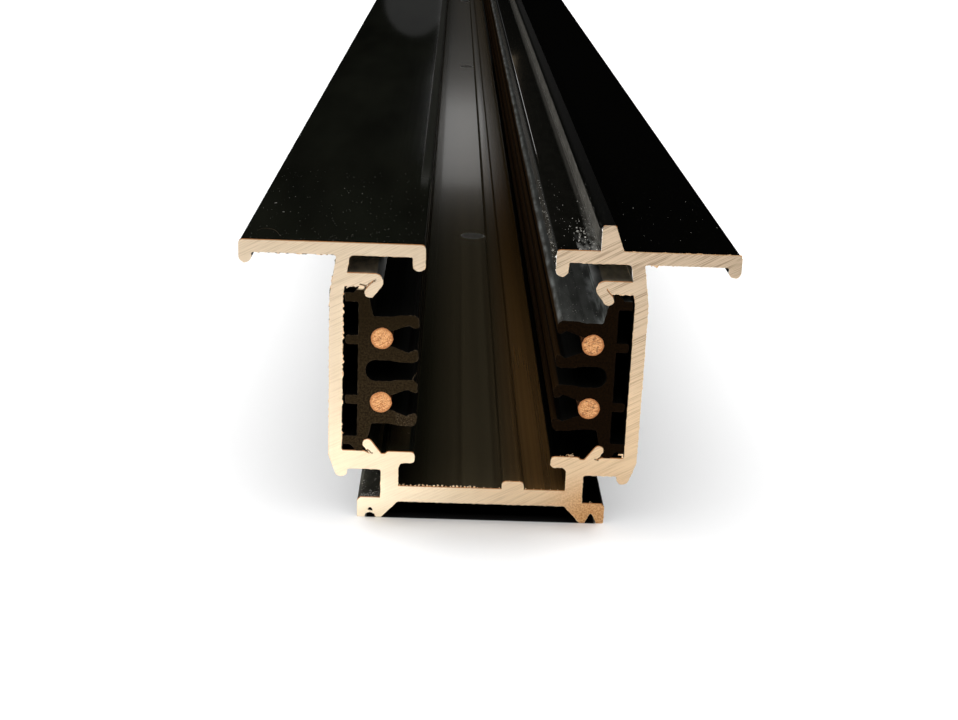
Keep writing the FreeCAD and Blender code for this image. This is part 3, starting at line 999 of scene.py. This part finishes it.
def make_edge_beads(material):
    """Bright torn beads along the floor's top edge, dense on the left."""
    rng = random.Random(BEAD_SEED)
    shape = bmesh.new()
    x = BEADS_FROM
    while x < BEADS_TO:
        sizes, pitches = LEFT_BEADS if x < BEADS_TURN else RIGHT_BEADS
        size = rng.uniform(*sizes)
        if not FLOOR_RIB_X[0] < x < FLOOR_RIB_X[1]:
            chip(shape, rng, (x, FRONT + BEAD_SETBACK, FLOOR_TOP + BEAD_RISE), size, flat=1.0)
        x += rng.uniform(*pitches)
    for x in RIB_BEADS_X:
        chip(shape, rng, (x, FRONT + RIB_BEAD_SETBACK, FLOOR_RIB_TOP), RIB_BEAD_SIZE, flat=1.0)
    add_piece("floor_edge_beads", shape, material)


# Clusters of chips: on the right shelf, in its clip's root, on the foot and on the shelf's lip
Crumbs = namedtuple("Crumbs", "x z count size")

CRUMBS = (
    Crumbs((9.8, 10.7), (SHELF_TOP - 0.05, SHELF_TOP + 0.26), 16, 0.26),
    Crumbs((13.5, 13.85), (8.42, 8.58), 7, 0.2),
    Crumbs((12.9, 13.4), (FOOT_TOP - 0.02, FOOT_TOP + 0.1), 5, 0.2),
    Crumbs((9.0, 9.6), (SHELF_TOP, SHELF_TOP + 0.05), 4, 0.12),
)
CRUMB_SEED = 23
CRUMB_SETBACK = (0.16, 0.6)
CRUMB_SPREAD = (0.6, 1.2)


def make_crumbs(material):
    """Clusters of chips that the saw left on the right shelf, in its clip and on the foot."""
    rng = random.Random(CRUMB_SEED)
    shape = bmesh.new()
    for crumbs in CRUMBS:
        for _ in range(crumbs.count):
            y = FRONT + rng.uniform(*CRUMB_SETBACK)
            place = (rng.uniform(*crumbs.x), y, rng.uniform(*crumbs.z))
            chip(shape, rng, place, crumbs.size * rng.uniform(*CRUMB_SPREAD), flat=0.9)
    add_piece("sawdust_crumbs", shape, material)


# Torn plates as (x, z) corners: metal pushed across the left foot's notch, torn off under the left hook,
# and a bent sliver in the right wall's corner; then how they are sampled, torn and set behind the front
FOOT_SMEAR = [
    (-13.75, 0.42), (-13.2, 0.62), (-12.65, 0.36), (-12.85, 0.82), (-13.3, 0.80), (-13.5, 0.92),
]
LONG_TOOTH = [
    (-15.5, 28.62), (-15.6, 28.48), (-15.95, 28.44), (-16.2, 28.26), (-16.32, 28.32), (-16.1, 28.62),
]
SHORT_TOOTH = [(-15.05, 28.62), (-15.12, 28.48), (-15.3, 28.40), (-15.42, 28.62)]
CORNER_SLIVER = [
    (16.0, 8.98), (16.60, 9.04), (16.60, 8.50), (16.42, 8.52), (16.42, 8.86), (16.02, 8.84),
]
SMEAR_SEED = 31
SLIVER_SEED = 41
SMEAR_STEP = 0.09
SMEAR_TEAR = (-0.03, 0.03)
SMEAR_SETBACK = 0.002
SMEAR_DEPTH = 0.15


def torn_plate(shape, rng, corners):
    """A thin ragged plate behind the front face, its outline drawn through (x, z) corners."""
    outline = []
    for (x, z), _, _ in walked(corners + corners[:1], SMEAR_STEP, phase=0.0):
        outline.append((x + rng.uniform(*SMEAR_TEAR), z + rng.uniform(*SMEAR_TEAR)))
    front = [shape.verts.new((x, FRONT + SMEAR_SETBACK, z)) for x, z in outline]
    back = [shape.verts.new((x, FRONT + SMEAR_DEPTH, z)) for x, z in outline]
    shape.faces.new(front)
    shape.faces.new(back[::-1])
    bridge(shape, front, back)


def make_plates(name, outlines, seed, material):
    """A piece of torn plates, one for each outline."""
    rng = random.Random(seed)
    shape = bmesh.new()
    for corners in outlines:
        torn_plate(shape, rng, corners)
    add_piece(name, shape, material)


# Grit: how many grains lie where, how far behind the front end, how large and how crowded to the front
Grit = namedtuple("Grit", "count x depth z size crowd")

ON_FLANGE = (FLANGE_TOP, FLANGE_TOP + 0.01)
ON_ARM = (ARM_TOP, ARM_TOP + 0.01)
ON_FOOT = (FOOT_TOP, FOOT_TOP + 0.01)
GRIT = (
    Grit(60, (9.6, 12.2), (0.0, 16.0), ON_FLANGE, (0.06, 0.20), 1.3),
    Grit(26, (9.8, 11.6), (3.0, 11.0), ON_FLANGE, (0.16, 0.30), 1.0),
    Grit(60, (11.5, 12.35), (0.0, 30.0), ON_FLANGE, (0.05, 0.16), 1.2),
    Grit(30, (7.9, 9.6), (0.0, 40.0), ON_FLANGE, (0.04, 0.12), 1.3),
    Grit(60, (7.36, 7.44), (2.0, 45.0), (31.0, 33.2), (0.06, 0.22), 1.2),
    Grit(60, (12.36, 12.42), (0.0, 30.0), (33.7, 36.2), (0.05, 0.14), 1.3),
    Grit(240, (-28.0, -8.0), (0.0, 40.0), ON_FLANGE, (0.04, 0.10), 1.8),
    Grit(30, (15.5, 28.0), (0.0, 40.0), ON_FLANGE, (0.03, 0.10), 1.5),
    Grit(70, (8.4, 13.0), (0.0, 22.0), ON_ARM, (0.04, 0.12), 1.3),
    Grit(70, (-14.4, -12.2), (0.0, 12.0), ON_FOOT, (0.07, 0.20), 1.5),
    Grit(60, (-14.4, -12.2), (0.0, 1.6), ON_FOOT, (0.07, 0.18), 1.5),
)
GRIT_SEED = 5
GRIT_SETBACK = 0.2

# Larger grains that lie singly on the left flange: x, y and size
SINGLE_GRAINS = ((-9.86, -492.25, 0.3), (-26.46, -481.2, 0.4), (-24.96, -485.9, 0.4))


def scatter(shape, rng, grit):
    """Chips over a region; a crowd above one draws them towards the front end."""
    near, far = (FRONT + GRIT_SETBACK + depth for depth in grit.depth)
    for _ in range(grit.count):
        x = rng.uniform(*grit.x)
        y = near + (far - near) * rng.random() ** grit.crowd
        z = rng.uniform(*grit.z)
        chip(shape, rng, (x, y, z), rng.uniform(*grit.size), flat=0.8)


def make_dust(material):
    """Grit on the flange beside the rib, on the lip's edge, on the plastic and thinly on the rest."""
    rng = random.Random(GRIT_SEED)
    shape = bmesh.new()
    for grit in GRIT:
        scatter(shape, rng, grit)
    for x, y, size in SINGLE_GRAINS:
        chip(shape, rng, (x, y, FLANGE_TOP), size, flat=0.3)
    add_piece("settled_dust", shape, material)


TUBE_SIDES = 6
TUBE_TIP = 0.35
PATH_STEPS = 8


def tube(shape, points, radius):
    """A thin closed tube along points, thinner towards its ends."""
    rings = []
    for index, point in enumerate(points):
        before = points[max(index - 1, 0)]
        after = points[min(index + 1, len(points) - 1)]
        along = (after - before).normalized()
        side = along.orthogonal().normalized()
        other = along.cross(side)
        swell = math.sin(math.pi * (index + 0.5) / len(points))
        thick = radius * (TUBE_TIP + (1 - TUBE_TIP) * swell)
        ring = []
        for corner in range(TUBE_SIDES):
            angle = 2 * math.pi * corner / TUBE_SIDES
            spoke = math.cos(angle) * side + math.sin(angle) * other
            ring.append(shape.verts.new(point + thick * spoke))
        rings.append(ring)
    for low, high in zip(rings, rings[1:]):
        bridge(shape, low, high)
    shape.faces.new(rings[0])
    shape.faces.new(rings[-1][::-1])


def smooth_path(points):
    """Points on a smooth line through the given ones."""
    ends = [points[0], *points, points[-1]]
    path = []
    for a, b, c, d in zip(ends, ends[1:], ends[2:], ends[3:]):
        for step in range(PATH_STEPS):
            t = step / PATH_STEPS
            straight = 2 * b + (c - a) * t
            curved = (2 * a - 5 * b + 4 * c - d) * t * t
            twisted = (3 * b - a - 3 * c + d) * t**3
            path.append(0.5 * (straight + curved + twisted))
    path.append(points[-1])
    return path


# Fibre of lint on the left flange, as (x, y)
LINT_LINE = (
    (-26.9, -495.6), (-26.5, -494.8), (-25.9, -494.5), (-25.2, -494.9),
    (-24.6, -495.9), (-24.2, -497.2), (-23.9, -498.0),
)
LINT_RISE = 0.025

# Hairs drawn out of the holders, as (x, z), each leaning back a little from point to point
HAIRS = (
    ((-8.0, 18.4), (-8.45, 17.7), (-8.67, 16.85), (-9.0, 16.4)),
    ((-8.5, 25.3), (-8.62, 24.9), (-8.55, 24.4), (-8.2, 24.0)),
    ((-13.9, 20.3), (-14.4, 20.0), (-14.7, 20.2)),
    ((11.0, 15.7), (10.8, 15.5), (10.65, 15.6)),
    ((14.3, 20.3), (14.7, 20.0), (14.9, 20.1)),
)
HAIR_SETBACK = 0.08
HAIR_LEAN = 0.04


def make_lint(material):
    """A curled fibre that lies on the left flange near its front corner."""
    shape = bmesh.new()
    points = [Vector((x, y, FLANGE_TOP + LINT_RISE)) for x, y in LINT_LINE]
    tube(shape, smooth_path(points), radius=0.02)
    add_piece("lint_fibre", shape, material)


def make_plastic_hairs(material):
    """Hairs that the saw drew out of the holders' ends."""
    front = FRONT + HAIR_SETBACK
    shape = bmesh.new()
    for hair in HAIRS:
        points = [Vector((x, front + HAIR_LEAN * index, z)) for index, (x, z) in enumerate(hair)]
        tube(shape, smooth_path(points), radius=0.045)
    add_piece("plastic_hairs", shape, material)


# Round studio floor and the wall far round it, in metres
STAGE_SIDES = 96
FLOOR_REACH = 1.15
WALL_REACH = 9.0
WALL_RISE = 6.0


def add_stage(name, corners, faces, material):
    """A part of the studio that the track doesn't mirror."""
    mesh = bpy.data.meshes.new(name)
    mesh.from_pydata(corners, [], faces)
    mesh.materials.append(material)
    thing = add_object(name, mesh)
    thing.visible_glossy = False
    thing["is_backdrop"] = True
    return thing


def circle(radius, height):
    """Corners of a level many-sided ring."""
    angles = [2 * math.pi * index / STAGE_SIDES for index in range(STAGE_SIDES)]
    return [(radius * math.cos(angle), radius * math.sin(angle), height) for angle in angles]


def make_floor():
    return add_stage("studio_floor", circle(FLOOR_REACH, 0.0), [range(STAGE_SIDES)], floor_paint())


def make_backdrop():
    """A white wall all round, far off, that neither lights nor shades the track."""
    corners = circle(WALL_REACH, -WALL_RISE) + circle(WALL_REACH, WALL_RISE)
    faces = []
    for index in range(STAGE_SIDES):
        after = (index + 1) % STAGE_SIDES
        faces.append((index, after, after + STAGE_SIDES, index + STAGE_SIDES))
    wall = add_stage("studio_wall", corners, faces, wall_paint())
    wall.visible_diffuse = False
    wall.visible_shadow = False


# Softboxes in metres and watts: one over everything, then those for the track and for the floor alone
WHITE = (1.0, 1.0, 1.0)
Softbox = namedtuple("Softbox", "name place aim size power colour shape", defaults=(WHITE, "RECTANGLE"))

WARM = (1.0, 0.96, 0.90)
AMBER = (1.0, 0.80, 0.55)
CUT_END = (0.0, -0.5, 0.015)
CHANNEL = (0.0, -0.4, 0.004)
WINDOW_BEHIND = 3.0
FLOOR_AIM = (0.0, -0.3, 0.0)
OVERHEAD = Softbox("overhead", (0.0, -0.3, 1.6), FLOOR_AIM, (4.4, 3.2), 60.0)
TRACK_LIGHTS = (
    Softbox("side_left", (-1.3, -0.4, 1.0), CUT_END, (0.7, 0.7), 12.0),
    Softbox("side_right", (1.3, 0.0, 0.03), (0.0, 0.0, 0.015), (0.7, 0.05), 5.0),
    Softbox("key_left", (-0.22, -0.82, 0.05), CUT_END, (0.16, 0.16), 0.30, WARM),
    Softbox("front_fill", (0.0, -0.72, 0.095), CUT_END, (0.4, 0.19), 0.16, WARM),
    Softbox("low_left", (-0.03, -0.525, 0.003), (-0.0135, -0.5, 0.006), (0.02, 0.004), 0.0021, WARM),
    Softbox("low_front", (-0.004, -0.535, 0.003), (0.0, -0.5, 0.008), (0.10, 0.02), 0.012, WARM),
    Softbox("window_haze", (0.109, WINDOW_BEHIND, 0.585), CHANNEL, (0.066, 0.27), 0.012, AMBER),
)
FLOOR_LIGHTS = (
    Softbox("floor_left", (-1.0, 0.3, 1.3), FLOOR_AIM, (1.2, 0.8), 21.0),
    Softbox("floor_right", (1.0, 0.3, 1.3), FLOOR_AIM, (1.2, 0.8), 16.0),
    Softbox("floor_top", (0.0, 0.05, 1.6), (0.0, 0.05, 0.0), (2.4, 0.9), 30.0),
)

# Bright bands far behind the track that its channel floor mirrors: lower and upper edge, brightness
WINDOW_BANDS = (
    (0.220, 0.360, 0.12),
    (0.360, 0.430, 0.30),
    (0.430, 0.455, 0.30),
    (0.455, 0.475, 0.65),
    (0.475, 0.495, 1.20),
    (0.495, 0.515, 1.85),
    (0.515, 0.708, 2.95),
)
WINDOW_SIDES = (-0.0395, 0.0755)

# A soft round glow on the far left flange, built up from ellipses one inside another
GLOW_PLACE = (-0.10, WINDOW_BEHIND, 0.325)
GLOW_SIZE = (0.12, 0.14)
GLOW_SHARES = (0.2, 0.4, 0.6, 0.8, 1.0, 1.2)
GLOW_BRIGHTNESS = 0.09


def window_lights():
    """The bands and the glow that the track mirrors."""
    left, right = WINDOW_SIDES
    width, middle = right - left, (left + right) / 2
    for low, high, brightness in WINDOW_BANDS:
        place = (middle, WINDOW_BEHIND, (low + high) / 2)
        yield Softbox("window_band", place, CHANNEL, (width, high - low), brightness * width * (high - low))
    for share in GLOW_SHARES:
        size = (GLOW_SIZE[0] * share, GLOW_SIZE[1] * share)
        power = GLOW_BRIGHTNESS * size[0] * size[1]
        yield Softbox("window_far", GLOW_PLACE, CHANNEL, size, power, shape="ELLIPSE")


def add_light(box):
    data = bpy.data.lights.new(box.name, "AREA")
    data.shape = box.shape
    data.size, data.size_y = box.size
    data.energy = box.power
    data.color = box.colour
    light = add_object(box.name, data)
    light.location = box.place
    light.rotation_euler = (Vector(box.aim) - Vector(box.place)).to_track_quat("-Z", "Y").to_euler()
    light.visible_camera = False
    return light


def light_only(boxes, things, name):
    """Adds lights that fall on the given things alone."""
    lit = bpy.data.collections.new(name)
    for thing in things:
        lit.objects.link(thing)
    for box in boxes:
        add_light(box).light_linking.receiver_collection = lit


def make_lights(floor):
    """A broad light over everything, small ones for the track and three more for the floor."""
    add_light(OVERHEAD)
    light_only((*TRACK_LIGHTS, *window_lights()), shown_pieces(), "lit_track")
    light_only(FLOOR_LIGHTS, [floor], "lit_floor")


def make_world():
    world = bpy.data.worlds.new("studio")
    world.use_nodes = True
    background = world.node_tree.nodes["Background"]
    background.inputs["Color"].default_value = (1.0, 1.0, 1.0, 1.0)
    background.inputs["Strength"].default_value = 0.001
    bpy.context.scene.world = world


def make_camera():
    data = bpy.data.cameras.new("camera")
    data.sensor_fit = "HORIZONTAL"
    data.sensor_width = SENSOR_WIDTH
    data.lens = CAMERA_LENS
    data.clip_start = NEAREST_SEEN
    camera = add_object("camera", data)
    camera.location = CAMERA_PLACE
    camera.rotation_euler = Euler([math.radians(angle) for angle in CAMERA_TURN], "XYZ")
    bpy.context.scene.camera = camera


def dress_track():
    """Materials on the track's own nodes, the saw burr of each, and what else the saw left."""
    coat, swarf = coated_aluminium(), bare_swarf()
    plastic, copper, hair = insulator_plastic(), conductor_copper(), plastic_hair()
    for name, node in NODES.items():
        if name.startswith("conductor"):
            dress(node, copper)
            make_burrs(name, copper, COPPER_BURR)
        elif name.startswith("insulator"):
            dress(node, plastic)
            make_burrs(name, hair, PLASTIC_BURR, PLASTIC_ZONES)
        else:
            dress(node, coat)
            make_burrs(name, swarf, BODY_BURR, BODY_ZONES, BODY_LIP)
    make_edge_beads(swarf)
    make_crumbs(swarf)
    make_plates("saw_smears", (FOOT_SMEAR, LONG_TOOTH, SHORT_TOOTH), SMEAR_SEED, coat)
    make_plates("corner_sliver", (CORNER_SLIVER,), SLIVER_SEED, swarf)
    make_plastic_hairs(hair)
    make_lint(hair)
    make_dust(settled_dust())


dress_track()
make_lights(make_floor())
make_backdrop()
make_world()
make_camera()
bpy.context.scene.view_settings.view_transform = "Standard"
